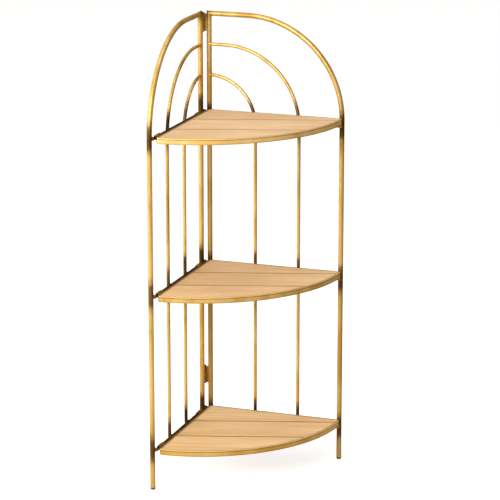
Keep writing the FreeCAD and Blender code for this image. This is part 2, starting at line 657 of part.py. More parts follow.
def make_screws(level):
    """Screws driven up through the straps into the boards."""
    screws = []
    for points in screw_points().values():
        for across, along in points:
            x, y = turned_point(across, along)
            head = doc.addObject("Part::Cylinder", "ScrewHead")
            tie(head, "Radius", "Sizes.screw_head_diameter / 2")
            tie(head, "Height", SIZE["screw_head_height"])
            shank = doc.addObject("Part::Cylinder", "ScrewShank")
            tie(shank, "Radius", "Sizes.screw_diameter / 2 - Sizes.running_clearance")
            tie(shank, "Height", "Sizes.strap_thickness + Sizes.screw_length")
            tie(shank, "Placement.Base.z", SIZE["screw_head_height"])
            screw = doc.addObject("Part::Fuse", "Screw")
            screw.Base = head
            screw.Tool = shank
            tie(screw, "Placement.Base.x", x)
            tie(screw, "Placement.Base.y", y)
            screws.append(screw)
    batch = node(doc.addObject("Part::Compound", "Screws"), f"{level}_shelf_screws")
    batch.Links = screws
    rise = f"{SIZE['strap_underside']} - Sizes.screw_head_height"
    place_on_panel(batch, "left", "0", shelf_height(level, rise))


def make_hinge_eye(level, end, run):
    """Eye rolled round the left rail, its leaf welded to the frame's straight side."""
    body = new_body(f"{level}_shelf_{end}_eye")
    bore = f"({SIZE['rod_radius']} + Sizes.running_clearance)"
    outside = f"({bore} + Sizes.eye_wall)"
    # The leaf hangs from the side of the eye that faces the shelf.
    ring = new_sketch(body, "YZ_Plane")
    add_circle(ring, "0", "0", outside)
    pad(body, ring, SIZE["eye_width"], middle=True)
    leaf = new_sketch(body, "YZ_Plane")
    add_rectangle(leaf, bore, "(0 - Sizes.eye_leaf_drop)", outside, "0")
    pad(body, leaf, SIZE["eye_width"], middle=True)
    drill = new_sketch(body, "YZ_Plane")
    add_circle(drill, "0", "0", bore)
    pocket_through(body, drill)
    place_on_panel(body, "left", SIZE["rail_inset"], shelf_height(level))
    tie(body, "Placement.Base.y", f"Sizes.leg_run / 2 - {run}")


def make_shelf(level):
    make_shelf_frame(level)
    for board in ("back", "middle", "front"):
        make_board(level, board)
    make_straps(level)
    make_screws(level)
    make_hinge_eye(level, "front", "(Sizes.leg_run - Sizes.front_eye_setback)")
    make_hinge_eye(level, "rear", "(Sizes.post_setback + Sizes.rear_eye_setback)")


make_panel("left")
make_panel("right")
make_rear_hinge("lower", "Sizes.bottom_rail_height + Sizes.lower_hinge_rise")
make_rear_hinge("upper", f"{SIZE['arch_top']} - Sizes.upper_hinge_drop - Sizes.hinge_height")
for shelf_level in SHELVES:
    make_shelf(shelf_level)
doc.recompute()

for item in doc.Objects:
    if "Invalid" in item.State or "Error" in item.State:
        raise RuntimeError(f"{item.Label} ({item.Name}) failed: {item.State}")
for item in nodes:
    if item.Shape.isNull() or not item.Shape.isValid():
        raise RuntimeError(f"{item.Label} has no valid shape")
for item in nodes:
    item.Shape.exportStep(f"parts/{item.Label}.step")
print(f"{len(nodes)} nodes written")
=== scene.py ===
import math

import bmesh
import bpy
from mathutils import Matrix, Vector


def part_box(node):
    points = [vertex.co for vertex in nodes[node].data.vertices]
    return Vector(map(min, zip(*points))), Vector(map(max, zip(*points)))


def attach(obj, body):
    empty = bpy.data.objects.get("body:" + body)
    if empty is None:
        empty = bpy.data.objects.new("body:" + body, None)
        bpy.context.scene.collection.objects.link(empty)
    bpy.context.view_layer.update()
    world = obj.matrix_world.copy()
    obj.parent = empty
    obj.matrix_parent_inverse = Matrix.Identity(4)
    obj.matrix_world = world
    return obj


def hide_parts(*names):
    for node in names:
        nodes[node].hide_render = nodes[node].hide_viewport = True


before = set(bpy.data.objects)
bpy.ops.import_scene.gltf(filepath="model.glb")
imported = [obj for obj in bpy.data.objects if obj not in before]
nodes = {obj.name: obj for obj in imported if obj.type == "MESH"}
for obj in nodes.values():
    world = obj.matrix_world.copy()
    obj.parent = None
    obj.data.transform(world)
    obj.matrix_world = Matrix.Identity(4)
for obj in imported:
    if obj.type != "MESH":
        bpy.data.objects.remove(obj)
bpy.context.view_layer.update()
print("frame loaded:", len(nodes), "nodes")

scene = bpy.context.scene
sides = ("left", "right")
levels = ("bottom", "middle", "top")
boardNames = ("back", "middle", "front")
up = Vector((0, 0, 1))


def middleOf(node):
    low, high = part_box(node)
    return (low + high) / 2


# places that the looks need, read from the model itself
railHeights = {side: [middleOf(f"{side}_{level}_rail").z for level in levels] for side in sides}
corner = Vector((middleOf("lower_hinge_pin").x, middleOf("lower_hinge_pin").y, 0))
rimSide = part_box("middle_shelf_frame")[0].x     # the shelf frames' left face
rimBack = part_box("middle_shelf_frame")[1].y     # and their rear face
rimTops = [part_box(f"{level}_shelf_frame")[1].z for level in levels]
rimFeet = [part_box(f"{level}_shelf_frame")[0].z for level in levels]
rimWall = 0.0025        # thickness of the frames' flat bar


cameraLook = {
    "place": (1.8676, -5.2587, 2.0432),
    "yaw": -19.49,      # degrees, to the left of +Y
    "down": 14.90,      # degrees below level
    "lens": 176.57,     # mm
    "film": 36,         # mm, a square frame
    "farEnd": 60,       # metres, as far as it sees
}


def makeCamera(look):
    data = bpy.data.cameras.new("camera")
    data.lens = look["lens"]
    data.sensor_width = look["film"]
    data.clip_end = look["farEnd"]
    camera = bpy.data.objects.new("camera", data)
    scene.collection.objects.link(camera)
    camera.location = look["place"]
    yaw = math.radians(look["yaw"])
    down = math.radians(look["down"])
    forward = Vector((math.sin(yaw) * math.cos(down), math.cos(yaw) * math.cos(down), -math.sin(down)))
    camera.rotation_euler = forward.to_track_quat("-Z", "Y").to_euler()
    scene.camera = camera


makeCamera(cameraLook)
print("camera placed")


def newMaterial(name):
    material = bpy.data.materials.new(name)
    material.use_nodes = True
    return material, material.node_tree, material.node_tree.nodes["Principled BSDF"]


# a socket takes either a plain value or another node's output
def feed(tree, socket, value):
    if isinstance(value, bpy.types.NodeSocket):
        tree.links.new(value, socket)
    elif socket.type == "RGBA":
        socket.default_value = (*value, 1)
    else:
        socket.default_value = value


def feedAll(tree, node, values):
    for label, value in values.items():
        feed(tree, node.inputs[label], value)


def mathNode(tree, operation, *values, clamp=False):
    node = tree.nodes.new("ShaderNodeMath")
    node.operation = operation
    node.use_clamp = clamp
    for socket, value in zip(node.inputs, values):
        feed(tree, socket, value)
    return node.outputs[0]


# how far two values are apart
def apartNode(tree, first, second):
    return mathNode(tree, "ABSOLUTE", mathNode(tree, "SUBTRACT", first, second))


def vectorNode(tree, operation, first, second):
    node = tree.nodes.new("ShaderNodeVectorMath")
    node.operation = operation
    feed(tree, node.inputs[0], first)
    feed(tree, node.inputs[1], second)
    return node.outputs["Value" if operation in ("DOT_PRODUCT", "DISTANCE") else "Vector"]


def splitNode(tree, vector):
    node = tree.nodes.new("ShaderNodeSeparateXYZ")
    feed(tree, node.inputs[0], vector)
    return node.outputs


def mappingNode(tree, vector, values):
    node = tree.nodes.new("ShaderNodeMapping")
    feedAll(tree, node, {"Vector": vector, **values})
    return node.outputs["Vector"]


def rangeNode(tree, value, low, high, toLow=0.0, toHigh=1.0, smooth=True):
    node = tree.nodes.new("ShaderNodeMapRange")
    node.interpolation_type = "SMOOTHSTEP" if smooth else "LINEAR"
    feedAll(tree, node, {"Value": value, "From Min": low, "From Max": high})
    feedAll(tree, node, {"To Min": toLow, "To Max": toHigh})
    return node.outputs["Result"]


def noiseNode(tree, vector, scale, detail, roughness, distortion=0.0):
    node = tree.nodes.new("ShaderNodeTexNoise")
    feedAll(tree, node, {"Vector": vector, "Scale": scale, "Detail": detail, "Roughness": roughness,
                         "Distortion": distortion})
    return node.outputs["Fac"]


def mixColour(tree, factor, first, second, blend="MIX"):
    node = tree.nodes.new("ShaderNodeMix")
    node.data_type = "RGBA"
    node.blend_type = blend
    node.clamp_factor = True
    for index, value in ((0, factor), (6, first), (7, second)):     # the node's sockets for colours
        feed(tree, node.inputs[index], value)
    return node.outputs[2]


# a colour laid over another where the mask is, as strongly as asked
def layOver(tree, under, mask, strength, colour):
    return mixColour(tree, mathNode(tree, "MULTIPLY", mask, strength), under, colour)


def objectPlace(tree):
    return tree.nodes.new("ShaderNodeTexCoord").outputs["Object"]


def addBump(tree, shader, height, strength, depth):
    bump = tree.nodes.new("ShaderNodeBump")
    feedAll(tree, bump, {"Height": height, "Strength": strength, "Distance": depth})
    feed(tree, shader.inputs["Normal"], bump.outputs["Normal"])


studio = {
    "floorTone": (0.56, 0.555, 0.545),
    "floorRoughness": 0.85,
    "floorGlow": 0.72,      # what the camera sees on top of the floor's own light
    "floorSize": 60,
    "worldKeySide": (-0.8, -0.5, 0.35),
    "worldSpan": 0.8,       # the change runs this far to either side of side on
    "worldBright": 0.62,    # towards the key side
    "worldDim": 0.20,       # towards the far side
    "worldSeen": 0.94,      # behind the floor, for the camera alone
    "worldTint": (1.0, 0.99, 0.975),
    "lights": [
        # name, place, aims at, width, height, watts, tint
        ("key", (-2.5, -1.3, 1.25), (0, 0, 0.75), 1.0, 2.5, 50, (1.0, 0.985, 0.96)),
        ("front", (-0.3, -3.6, 2.2), (0, 0, 0.42), 1.8, 1.4, 150, (1.0, 0.99, 0.97)),
        ("fill", (2.8, -1.6, 1.2), (0, 0, 0.6), 0.5, 2.0, 4, (1.0, 0.99, 0.98)),
        ("overhead", (0.2, -0.4, 3.4), (0, 0, 0.5), 2.2, 2.2, 20, (1.0, 1.0, 1.0)),
    ],
}


# a brightness that the camera alone sees
def cameraGlow(tree, amount):
    ray = tree.nodes.new("ShaderNodeLightPath")
    return mathNode(tree, "MULTIPLY", ray.outputs["Is Camera Ray"], amount)


def makeFloor():
    bpy.ops.object.select_all(action="DESELECT")
    bpy.ops.mesh.primitive_plane_add(size=studio["floorSize"], location=(0, 0, 0))
    floor = bpy.context.object
    floor.name = "floor"
    material, tree, shader = newMaterial("paleFloor")
    feedAll(tree, shader, {
        "Base Color": studio["floorTone"],
        "Roughness": studio["floorRoughness"],
        "Specular IOR Level": 0.0,
        "Emission Color": (1, 1, 1),
        "Emission Strength": cameraGlow(tree, studio["floorGlow"]),
    })
    floor.data.materials.append(material)


def makeWorld():
    world = bpy.data.worlds.new("softStudio")
    world.use_nodes = True
    scene.world = world
    tree = world.node_tree
    way = tree.nodes.new("ShaderNodeTexCoord").outputs["Generated"]
    facing = vectorNode(tree, "DOT_PRODUCT", way, Vector(studio["worldKeySide"]).normalized())
    span = studio["worldSpan"]
    light = rangeNode(tree, facing, -span, span, studio["worldDim"], studio["worldBright"])
    light = mathNode(tree, "MAXIMUM", light, cameraGlow(tree, studio["worldSeen"]))
    feedAll(tree, tree.nodes["Background"], {"Color": studio["worldTint"], "Strength": light})


def makeLights():
    for name, place, aim, width, height, watts, tint in studio["lights"]:
        data = bpy.data.lights.new(name, "AREA")
        data.shape = "RECTANGLE"
        data.size = width
        data.size_y = height
        data.energy = watts
        data.color = tint
        light = bpy.data.objects.new(name, data)
        scene.collection.objects.link(light)
        light.location = place
        light.rotation_euler = (Vector(aim) - Vector(place)).to_track_quat("-Z", "Y").to_euler()


makeFloor()
makeWorld()
makeLights()
scene.view_settings.view_transform = "Standard"
print("studio lit")


# a shared effect: each input comes with its own number, or with None where it takes a place
def newGroup(name, inputs, outputs):
    group = bpy.data.node_groups.new(name, "ShaderNodeTree")
    for label, value in inputs.items():
        kind = "NodeSocketVector" if value is None else "NodeSocketFloat"
        socket = group.interface.new_socket(label, in_out="INPUT", socket_type=kind)
        if value is not None:
            socket.default_value = value
    for label in outputs:
        group.interface.new_socket(label, in_out="OUTPUT", socket_type="NodeSocketFloat")
    return group, group.nodes.new("NodeGroupInput").outputs, group.nodes.new("NodeGroupOutput")


def useGroup(tree, group, values):
    node = tree.nodes.new("ShaderNodeGroup")
    node.node_tree = group
    feedAll(tree, node, values)
    return node.outputs


burnishAndShadeLook = {
    "edge": (42.0, 4.0, 0.65),      # its ragged edge: scale, detail, roughness
    "wander": 0.050,                # how far the edge wanders
    "fade": 0.032,                  # how softly it ends
}


# dark burnish left by the torch round every welded joint, at the feet and at one spot; round the joints it
# is painted shade under the shelves as well
def makeBurnishAndShadeGroup():
    look = burnishAndShadeLook
    group, given, end = newGroup(
        "burnishAndShade",
        {"Place": None, "Low": 0.1, "Middle": 0.5, "High": 0.9, "Reach": 0.0, "Foot": 0.0,
         "Spot": None, "Spot Reach": 0.0, "Fade": look["fade"]},
        ["Mask"],
    )
    ragged = noiseNode(group, given["Place"], *look["edge"])
    wander = mathNode(group, "MULTIPLY_ADD", ragged, look["wander"], -look["wander"] / 2)
    height = mathNode(group, "ADD", splitNode(group, given["Place"])["Z"], wander)
    full = mathNode(group, "MULTIPLY", given["Fade"], -1.0)

    def within(distance, reach):
        return rangeNode(group, mathNode(group, "SUBTRACT", distance, given[reach]), 0.0, full)

    mask = within(height, "Foot")
    for label in ("Low", "Middle", "High"):
        mask = mathNode(group, "MAXIMUM", mask, within(apartNode(group, height, given[label]), "Reach"))
    fromSpot = vectorNode(group, "DISTANCE", given["Place"], given["Spot"])
    mask = mathNode(group, "MAXIMUM", mask, within(fromSpot, "Spot Reach"))
    feedAll(group, end, {"Mask": mask})
    return group


patinaLook = {
    "drawnUp": 0.30,                # patches are longer up the tubes than across
    "clouds": (4.0, 0.55, 0.3),     # detail, roughness, distortion
    "toneRange": (0.34, 0.68),
    "stainScale": 0.62,             # next to the patches' own scale
    "stains": (5.0, 0.68, 0.6),     # detail, roughness, distortion
    "stainRange": (0.53, 0.68),
    "rubbing": (420.0, 4.0, 0.7),   # scale, detail, roughness
    "speckRange": (0.61, 0.75),
    "speckHeight": -0.6,
    "rubHeight": 0.4,
}


# slow tone changes, rare brown stains, fine rubbing and pits in an antiqued lacquer
def makePatinaGroup():
    look = patinaLook
    group, given, end = newGroup(
        "patina", {"Place": None, "Patch Scale": 22.0}, ["Tone", "Stains", "Specks", "Height"])
    place = mappingNode(group, given["Place"], {"Scale": (1, 1, look["drawnUp"])})
    clouds = noiseNode(group, place, given["Patch Scale"], *look["clouds"])
    wide = mathNode(group, "MULTIPLY", given["Patch Scale"], look["stainScale"])
    stains = noiseNode(group, place, wide, *look["stains"])
    rub = noiseNode(group, given["Place"], *look["rubbing"])
    rubbingAndHighlight = mathNode(group, "MULTIPLY", rub, look["rubHeight"])
    specks = rangeNode(group, rub, *look["speckRange"])
    feedAll(group, end, {
        "Tone": rangeNode(group, clouds, *look["toneRange"]),
        "Stains": rangeNode(group, stains, *look["stainRange"]),
        "Specks": specks,
        "Height": mathNode(group, "MULTIPLY_ADD", specks, look["speckHeight"], rubbingAndHighlight),
    })
    return group


# how near a value is to any of three levels, for rubbed edges and shaded seams
def makeBandGroup():
    group, given, end = newGroup(
        "band", {"Value": 0.0, "Low": 0.0, "Middle": 0.0, "High": 0.0, "Width": 0.002}, ["Mask"])
    mask = 0.0
    for label in ("Low", "Middle", "High"):
        near = rangeNode(group, apartNode(group, given["Value"], given[label]), given["Width"], 0.0)
        mask = mathNode(group, "MAXIMUM", mask, near)
    feedAll(group, end, {"Mask": mask})
    return group


grainLook = {
    # scale, detail, roughness, and how much a step along the board counts
    "sway": (7.0, 2.0, 0.50, 0.30),
    "fine": (420.0, 3.0, 0.60, 0.03),
    "streaks": (90.0, 4.0, 0.60, 0.05),
    "pores": (1500.0, 2.0, 0.50, 0.045),
    "clouds": (11.0, 3.0, 0.55, 0.30),
    "swayWidth": 0.16,              # how far the rings sway across the board
    "ringRange": (-0.2, 1.0),
    "streakRange": (0.42, 0.68),
    "poreRange": (0.62, 0.74),
    "cloudRange": (0.35, 0.68),
    "poreHeight": -0.8,
    "fineHeight": 0.5,
}


# figure, growth rings, pores and slow tone changes of a sawn board; X is across the board and Y along it
def makeGrainGroup():
    look = grainLook
    group, given, end = newGroup(
        "boardGrain",
        {"Place": None, "Ring Scale": 60.0},
        ["Rings", "Streaks", "Pores", "Clouds", "Height"],
    )

    def drawnOut(kind):
        scale, detail, roughness, along = look[kind]
        place = mappingNode(group, given["Place"], {"Scale": (1, along, 1)})
        return noiseNode(group, place, scale, detail, roughness)

    across = splitNode(group, given["Place"])["X"]
    swayed = mathNode(group, "MULTIPLY_ADD", drawnOut("sway"), look["swayWidth"], across)
    wave = mathNode(group, "SINE", mathNode(group, "MULTIPLY", swayed, given["Ring Scale"]))
    fine = mathNode(group, "MULTIPLY", drawnOut("fine"), look["fineHeight"])
    pores = rangeNode(group, drawnOut("pores"), *look["poreRange"])
    feedAll(group, end, {
        "Rings": rangeNode(group, wave, *look["ringRange"]),
        "Streaks": rangeNode(group, drawnOut("streaks"), *look["streakRange"]),
        "Pores": pores,
        "Clouds": rangeNode(group, drawnOut("clouds"), *look["cloudRange"]),
        "Height": mathNode(group, "MULTIPLY_ADD", pores, look["poreHeight"], fine),
    })
    return group


burnishAndShadeGroup = makeBurnishAndShadeGroup()
patinaGroup = makePatinaGroup()
bandGroup = makeBandGroup()
grainGroup = makeGrainGroup()
print("shared effects made")


def bandMask(tree, value, marks, width):
    low, middle, high = marks
    values = {"Value": value, "Low": low, "Middle": middle, "High": high, "Width": width}
    return useGroup(tree, bandGroup, values)["Mask"]


goldLook = {
    "light": (0.770, 0.500, 0.160),
    "deep": (0.560, 0.315, 0.055),
    # brown of the stains, also the painted shade on the rims' lower edges
    "stainAndShade": (0.330, 0.160, 0.022),
    # dark of the burnish, also the painted shade on the left rail, the right tube, the rods and the rims
    "burntAndShade": (0.082, 0.029, 0.002),
    # light gold of the painted highlight on the rims' upper edges
    "rubbingAndHighlight": (0.950, 0.700, 0.320),
    "edge": (0.800, 0.560, 0.260),      # tint of the gloss seen at a slant
    "metallic": 0.66,
    "burntAndShadeMetallic": 0.97,
    "smooth": 0.36,         # roughness where the lacquer is light
    "dull": 0.50,           # and where it is deep
    "burntAndShadeDuller": 0.10,    # what the burnish and the painted shade add to it
    "gloss": 0.22,
    "coat": 0.10,
    "coatRoughness": 0.25,
    "bump": (0.22, 0.0004),     # strength, depth
    "patchScale": 22.0,
    "stains": 0.55,         # how strongly the stains and the specks show
    "specks": 0.30,
    "burntAndShadeLeast": 0.82,     # the burnish and the painted shade are a little thinner where the lacquer is light
    "burntAndShadePatchy": 0.16,
    "reach": 0.0,           # how far the burnish and the painted shade under the shelf run up and down from each rail
    "foot": -1.0,           # how high it runs up from the floor, below zero for none
    "spotReach": 0.040,
    "cover": 0.0,           # how much of the whole piece is burnt dark; on the left rail and the right tube this is painted shade
}


# heights are the three rails', spot is one more burnt place, and edges are bands of another tone, used on
# the rims for painted highlight and painted shade
def makeGold(name, heights, spot=None, edges=(), **changes):
    look = {**goldLook, **changes}
    material, tree, shader = newMaterial(name)
    place = objectPlace(tree)
    patina = useGroup(tree, patinaGroup, {"Place": place, "Patch Scale": look["patchScale"]})
    # the bands round the joints: burnish, and painted shade under the shelves
    burnishAndShadeBands = {"Place": place, "Reach": look["reach"], "Foot": look["foot"]}
    burnishAndShadeBands.update(zip(("Low", "Middle", "High"), heights))
    if spot is not None:
        burnishAndShadeBands.update({"Spot": spot, "Spot Reach": look["spotReach"]})
    # darkest of the joint bands and the piece's cover: burnish, and on some pieces painted shade
    burntAndShade = mathNode(tree, "MAXIMUM", useGroup(tree, burnishAndShadeGroup, burnishAndShadeBands)["Mask"], look["cover"])
    patchy = mathNode(tree, "MULTIPLY_ADD", patina["Tone"], look["burntAndShadePatchy"], look["burntAndShadeLeast"])
    burntAndShade = mathNode(tree, "MULTIPLY", burntAndShade, patchy, clamp=True)
    toned = mixColour(tree, patina["Tone"], look["light"], look["deep"])
    toned = layOver(tree, toned, patina["Stains"], look["stains"], look["stainAndShade"])
    toned = mixColour(tree, burntAndShade, toned, look["burntAndShade"])
    toned = layOver(tree, toned, patina["Specks"], look["specks"], look["burntAndShade"])
    split = splitNode(tree, place)
    for axis, marks, width, colour, strength in edges:
        toned = layOver(tree, toned, bandMask(tree, split[axis], marks, width), strength, look[colour])
    rough = rangeNode(tree, patina["Tone"], 0.0, 1.0, look["smooth"], look["dull"], smooth=False)
    feedAll(tree, shader, {
        "Base Color": toned,
        "Metallic": rangeNode(tree, burntAndShade, 0.0, 1.0, look["metallic"], look["burntAndShadeMetallic"], smooth=False),
        "Roughness": mathNode(tree, "MULTIPLY_ADD", burntAndShade, look["burntAndShadeDuller"], rough),
        "Coat Weight": mathNode(tree, "MULTIPLY_ADD", burntAndShade, -look["coat"], look["coat"]),
        "Coat Roughness": look["coatRoughness"],
        "Specular IOR Level": look["gloss"],
        "Specular Tint": look["edge"],
    })
    addBump(tree, shader, patina["Height"], *look["bump"])
    return material


# where each gold piece differs from goldLook; the thin rods are darker than the tubes round the joints,
# burnish and painted shade under the shelves
goldPieces = {
    "left tube": {"stains": 0.62, "reach": 0.050, "foot": 0.012},
    # the right tube is a darker copy of the left one: painted shade on the right leg
    "right tube": {"stains": 0.62, "reach": 0.050, "foot": 0.012, "cover": 0.20},
    "left rod": {"stains": 0.66, "reach": 0.056, "burntAndShade": (0.034, 0.011, 0.001)},
    "right rod": {"stains": 0.66, "reach": 0.060, "burntAndShade": (0.034, 0.011, 0.001)},
    # the left rail is dark all over: painted shade in the gap between the rail and the shelf
    "left rail": {"cover": 1.0, "patchScale": 34.0},
    "right rail": {"cover": 0.6, "patchScale": 34.0},
    "strap": {"cover": 0.25, "patchScale": 26.0},
    "hinge": {"cover": 0.50, "patchScale": 60.0},
    "eye": {"cover": 0.60, "patchScale": 60.0},
}


def goldFinishes():
    apex = Vector((corner.x, corner.y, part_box("left_outer_tube")[1].z))
    made = {}
    for piece, changes in goldPieces.items():
        name = "gold" + piece.title().replace(" ", "")
        heights = railHeights["right" if piece.startswith("right") else "left"]
        spot = apex if piece.endswith("tube") else None
        made[piece] = makeGold(name, heights, spot=spot, **changes)
    return made


rimLook = {
    "stains": 0.30,
    "patchScale": 16.0,
    "paintedLightTones": {              # each rim's light and deep gold, one gold made lighter or darker to the light on its shelf: painted light, brightest on the top rim
        "bottom": ((0.790, 0.495, 0.155), (0.620, 0.345, 0.068)),
        "middle": ((0.760, 0.475, 0.145), (0.580, 0.320, 0.063)),
        "top": ((0.920, 0.605, 0.225), (0.800, 0.470, 0.130)),
    },
    "lineDown": 0.0034,     # how far the line of painted shade runs below the upper edge
    # bands of painted highlight and painted shade along the rim: width, colour, strength
    "line": (0.0013, "burntAndShade", 0.75),
    # painted shade along the rim's lower edge
    "shadedLowerEdge": (0.0034, "stainAndShade", 0.75),
    # painted highlight along the rim's upper edge
    "highlightUpperEdge": (0.0022, "rubbingAndHighlight", 0.90),
    # painted shade along the rims' straight left and rear sides, beside the rails
    "shadedStraightSide": (0.0040, "burntAndShade", 1.0),
}


def rimFinishes():
    look = rimLook
    # the rims' painted shade lines and sides, and their painted highlight on the upper edge
    edges = [
        ("Z", [top - look["lineDown"] for top in rimTops], *look["line"]),
        ("Z", rimFeet, *look["shadedLowerEdge"]),
        ("Z", rimTops, *look["highlightUpperEdge"]),
        ("X", [rimSide] * 3, *look["shadedStraightSide"]),
        ("Y", [rimBack] * 3, *look["shadedStraightSide"]),
    ]
    made = {}
    for level, (light, deep) in look["paintedLightTones"].items():
        changes = {"light": light, "deep": deep, "stains": look["stains"], "patchScale": look["patchScale"]}
        made[f"{level} rim"] = makeGold(f"goldRim_{level}", railHeights["left"], edges=edges, **changes)
    return made


woodLook = {
    "pale": (0.880, 0.598, 0.334),
    "warm": (0.710, 0.428, 0.202),
    "figure": (0.570, 0.315, 0.130),
    "pore": (0.360, 0.185, 0.075),
    # near black of the painted shade in the seams, beside the rim and beside the left rail
    "seamShade": (0.060, 0.022, 0.005),
    # each shelf's boards tinted to the light on that shelf: painted light and shade, warmer on the lower
    # shelves
    "shelfLightTints": {"bottom": (1.00, 0.99, 0.89), "middle": (1.00, 1.00, 0.95), "top": (1.00, 1.00, 1.00)},
    "layers": [
        # effect, strength, colour
        ("Clouds", 0.80, "warm"),
        ("Rings", 0.28, "warm"),
        ("Streaks", 0.34, "figure"),
        ("Pores", 0.45, "pore"),
    ],
    "slant": 17.5,          # degrees, the boards' turn from the right panel
    "shift": (0.37, 0.61, 0.17),    # from one board's grain to the next one's
    "ringScale": 300.0,     # the widest of four widths of growth rings
    "ringStep": 45.0,
    "ringWidths": 4,
    "seamShadeWidth": 0.0030,
    "rimShadeWidth": 0.0040,
    "railShadeWidth": 0.0060,    # the strip of painted shade beside the left rail
    "rimShade": 0.85,
    "roughness": 0.46,
    "ringRoughness": 0.10,  # how much rougher a ring is than the wood between
    "gloss": 0.30,
    "bump": (0.30, 0.0005),     # strength, depth
}


# one unit across the boards
def acrossBoards():
    turn = math.radians(woodLook["slant"])
    return Vector((math.sin(turn), -math.cos(turn), 0))


# painted shade along a board's seams to the next board and to the rim
def seamShadeMask(tree, level, node):
    look = woodLook
    place = objectPlace(tree)
    across = vectorNode(tree, "DOT_PRODUCT", place, acrossBoards())
    reaches = [acrossBoards().dot(vertex.co) for vertex in nodes[node].data.vertices]
    shaded = bandMask(tree, across, (min(reaches), max(reaches), max(reaches)), look["seamShadeWidth"])
    fromCorner = vectorNode(tree, "DISTANCE", vectorNode(tree, "MULTIPLY", place, (1, 1, 0)), corner)
    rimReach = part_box(f"{level}_shelf_frame")[1].x - corner.x - rimWall
    split = splitNode(tree, place)
    for value, mark, width in (
        (fromCorner, rimReach, look["rimShadeWidth"]),
        (split["X"], rimSide + rimWall, look["railShadeWidth"]),
        (split["Y"], rimBack - rimWall, look["rimShadeWidth"]),
    ):
        edge = mathNode(tree, "MULTIPLY", bandMask(tree, value, [mark] * 3, width), look["rimShade"])
        shaded = mathNode(tree, "MAXIMUM", shaded, edge)
    return shaded


def makeWood(level, board, seed):
    look = woodLook
    material, tree, shader = newMaterial(f"pine_{level}_{board}")
    place = mappingNode(tree, objectPlace(tree), {
        "Rotation": (0, 0, math.radians(90) - math.radians(look["slant"])),
        "Location": [step * seed for step in look["shift"]],
    })
    ringScale = look["ringScale"] + look["ringStep"] * (seed % look["ringWidths"])
    grain = useGroup(tree, grainGroup, {"Place": place, "Ring Scale": ringScale})
    toned = look["pale"]
    for effect, strength, colour in look["layers"]:
        toned = layOver(tree, toned, grain[effect], strength, look[colour])
    toned = mixColour(tree, 1.0, toned, look["shelfLightTints"][level], "MULTIPLY")
    # painted shade along the seams
    toned = mixColour(tree, seamShadeMask(tree, level, f"{level}_shelf_{board}_board"), toned, look["seamShade"])
    smoothest = look["roughness"] - look["ringRoughness"] / 2
    feedAll(tree, shader, {
        "Base Color": toned,
        "Roughness": mathNode(tree, "MULTIPLY_ADD", grain["Rings"], look["ringRoughness"], smoothest),
        "Specular IOR Level": look["gloss"],
    })
    addBump(tree, shader, grain["Height"], *look["bump"])
    return material


def boardFinishes():
    made = {}
    seed = 0
    for level in levels:
        for board in boardNames:
            seed += 1
            made[f"{level} {board} board"] = makeWood(level, board, seed)
    return made


plasticLook = {
    "dark": (0.070, 0.042, 0.012),
    "pale": (0.120, 0.076, 0.024),
    "grit": (900.0, 3.0, 0.6),      # scale, detail, roughness
    "gritRange": (0.3, 0.7),
    "roughness": (0.42, 0.62),      # least, most
    "bump": (0.2, 0.0003),          # strength, depth
}


def makePlastic(name):
    look = plasticLook
    material, tree, shader = newMaterial(name)
    grit = noiseNode(tree, objectPlace(tree), *look["grit"])
    feedAll(tree, shader, {
        "Base Color": mixColour(tree, grit, look["dark"], look["pale"]),
        "Roughness": rangeNode(tree, grit, *look["gritRange"], *look["roughness"]),
    })
    addBump(tree, shader, grit, *look["bump"])
    return material


steelLook = {
    "bright": (0.62, 0.61, 0.57),
    "grey": (0.44, 0.43, 0.40),
    "bloom": (260.0, 4.0, 0.6),     # scale, detail, roughness
    "bloomRange": (0.3, 0.7),
    "roughness": (0.26, 0.44),      # least, most
    "bump": (0.15, 0.0002),         # strength, depth
}


def makeSteel(name):
    look = steelLook
    material, tree, shader = newMaterial(name)
    bloom = noiseNode(tree, objectPlace(tree), *look["bloom"])
    feedAll(tree, shader, {
        "Base Color": mixColour(tree, bloom, look["bright"], look["grey"]),
        "Metallic": 1.0,
        "Roughness": rangeNode(tree, bloom, *look["bloomRange"], *look["roughness"]),
    })
    addBump(tree, shader, bloom, *look["bump"])
    return material


finishes = {
    **goldFinishes(),
    **rimFinishes(),
    **boardFinishes(),
    "foot": makePlastic("brownPlastic"),
    "screw": makeSteel("zincSteel"),
}
print("materials made:", len(finishes))


def finishFor(node):
    side = node.split("_")[0]
    if node.endswith("board"):
        return finishes[f"{side} {node.split('_')[2]} board"]
    if "hinge" in node:
        return finishes["hinge"]
    for ending, finish in (
        ("outer_tube", f"{side} tube"),
        ("rear_post", f"{side} tube"),
        ("rod", f"{side} rod"),
        ("rail", f"{side} rail"),
        ("frame", f"{side} rim"),
        ("foot", "foot"),
        ("straps", "strap"),
        ("screws", "screw"),
        ("eye", "eye"),
    ):
        if node.endswith(ending):
            return finishes[finish]
    raise ValueError(f"no finish for {node}")


for name, piece in nodes.items():
    piece.data.materials.clear()
    piece.data.materials.append(finishFor(name))
print("finishes given to the model's own pieces")


def selectOnly(thing):
    bpy.ops.object.select_all(action="DESELECT")
    thing.select_set(True)
    bpy.context.view_layer.objects.active = thing


# a copy with its own mesh, stretched along its Z, with that Z turned to along and its place in its mesh
def placeCopy(model, place, along, stretch=1.0):
    copy = model.copy()
    copy.data = model.data.copy()
    scene.collection.objects.link(copy)
    turn = Vector(along).to_track_quat("Z", "Y").to_matrix().to_4x4()
    grow = Matrix.Diagonal((1, 1, stretch, 1))
    copy.data.transform(Matrix.Translation(place) @ turn @ grow)
    return copy


